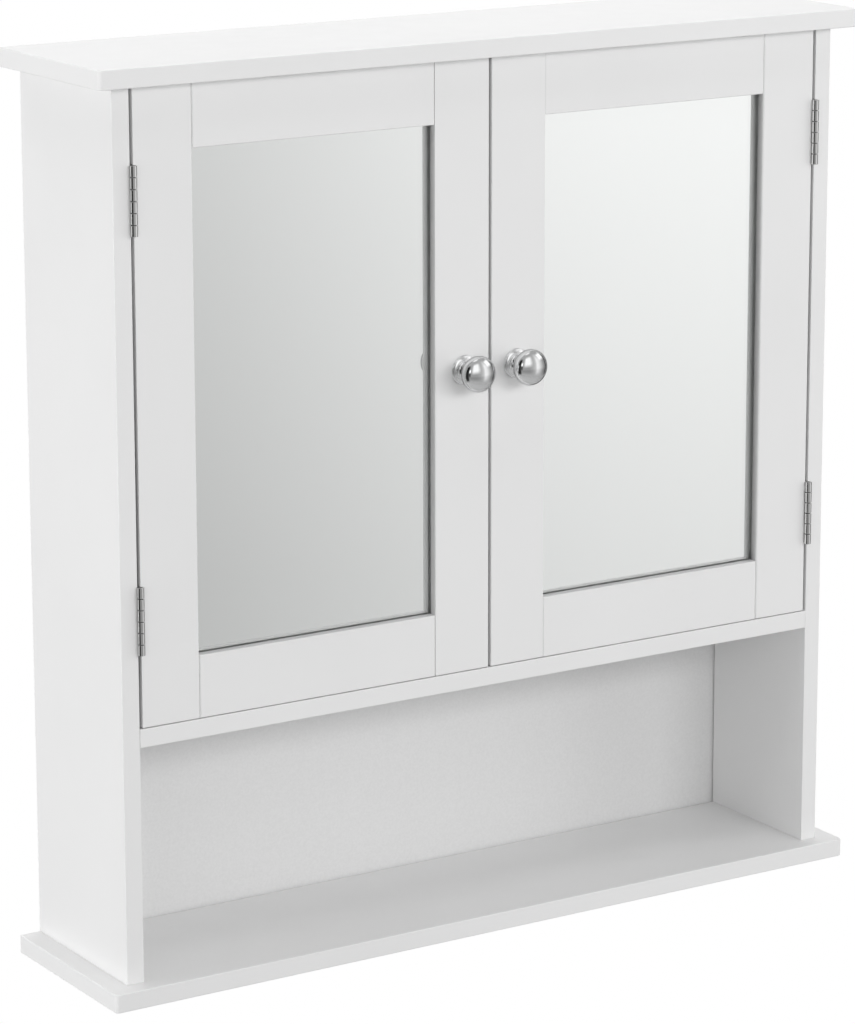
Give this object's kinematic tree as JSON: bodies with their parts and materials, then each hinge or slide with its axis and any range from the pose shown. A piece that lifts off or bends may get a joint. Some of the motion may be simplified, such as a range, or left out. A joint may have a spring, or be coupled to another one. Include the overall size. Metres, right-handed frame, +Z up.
{
  "type": "wall cabinet",
  "caption": "Hanging wall cabinet with framed mirror doors on butt hinges, round knobs and an open compartment below.",
  "frame": {"origin": "on the wall plane, midway between the two wall screw holes in the hanging rail", "axes": "+Z up, +X to the right seen from the front, +Y towards the wall, so the front faces -Y"},
  "size_m": [0.56, 0.142, 0.58],
  "materials": {
    "painted_board": "satin white paint on fibreboard",
    "painted_door_frame": "satin white paint on fibreboard",
    "papered_hardboard": "matt white paper on thin hardboard",
    "beech_dowel": "bare fluted beech",
    "mirror_glass": "silvered float glass",
    "chrome_plate": "polished chrome plate",
    "nickel_hinge": "bright nickel plate on rolled steel",
    "zinc_plated_steel": "bright zinc plate",
    "die_cast_zinc": "grey die-cast zinc",
    "white_plastic": "moulded white plastic",
    "ferrite_magnet": "sintered ferrite with a thin steel keeper"
  },
  "bodies": {
    "cabinet": {"top_board": "painted_board", "bottom_board": "painted_board", "left_side_panel": "painted_board", "right_side_panel": "painted_board", "middle_shelf": "painted_board", "adjustable_shelf": "painted_board", "shelf_pins": "zinc_plated_steel", "back_panel": "papered_hardboard", "hanging_rail": "painted_board", "top_cam_locks": "die_cast_zinc", "top_cam_bolts": "zinc_plated_steel", "top_dowels": "beech_dowel", "shelf_cam_locks": "die_cast_zinc", "shelf_cam_bolts": "zinc_plated_steel", "shelf_dowels": "beech_dowel", "bottom_screws": "zinc_plated_steel", "bottom_dowels": "beech_dowel", "rail_dowels": "beech_dowel", "catch_housing": "white_plastic", "catch_magnets": "ferrite_magnet", "catch_screws": "zinc_plated_steel", "left_top_panel_leaf": "nickel_hinge", "left_top_hinge_pin": "nickel_hinge", "left_bottom_panel_leaf": "nickel_hinge", "left_bottom_hinge_pin": "nickel_hinge", "right_top_panel_leaf": "nickel_hinge", "right_top_hinge_pin": "nickel_hinge", "right_bottom_panel_leaf": "nickel_hinge", "right_bottom_hinge_pin": "nickel_hinge", "left_panel_hinge_screws": "zinc_plated_steel", "right_panel_hinge_screws": "zinc_plated_steel"},
    "left_door": {"left_hinge_stile": "painted_door_frame", "left_closing_stile": "painted_door_frame", "left_top_rail": "painted_door_frame", "left_bottom_rail": "painted_door_frame", "left_mirror": "mirror_glass", "left_backing_board": "papered_hardboard", "left_backing_screws": "zinc_plated_steel", "left_knob": "chrome_plate", "left_knob_screw": "zinc_plated_steel", "left_strike_plate": "zinc_plated_steel", "left_strike_screw": "zinc_plated_steel", "left_top_door_leaf": "nickel_hinge", "left_bottom_door_leaf": "nickel_hinge", "left_door_hinge_screws": "zinc_plated_steel"},
    "right_door": {"right_hinge_stile": "painted_door_frame", "right_closing_stile": "painted_door_frame", "right_top_rail": "painted_door_frame", "right_bottom_rail": "painted_door_frame", "right_mirror": "mirror_glass", "right_backing_board": "papered_hardboard", "right_backing_screws": "zinc_plated_steel", "right_knob": "chrome_plate", "right_knob_screw": "zinc_plated_steel", "right_strike_plate": "zinc_plated_steel", "right_strike_screw": "zinc_plated_steel", "right_top_door_leaf": "nickel_hinge", "right_bottom_door_leaf": "nickel_hinge", "right_door_hinge_screws": "zinc_plated_steel"}
  },
  "joints": [
    {"name": "left_door_hinge", "type": "hinge", "parent": "cabinet", "child": "left_door", "pos_m": [-0.253, -0.1202, 0], "axis": [0, 0, -1], "range_deg": [0, 180]},
    {"name": "right_door_hinge", "type": "hinge", "parent": "cabinet", "child": "right_door", "pos_m": [0.253, -0.1202, 0], "axis": [0, 0, 1], "range_deg": [0, 180]}
  ]
}
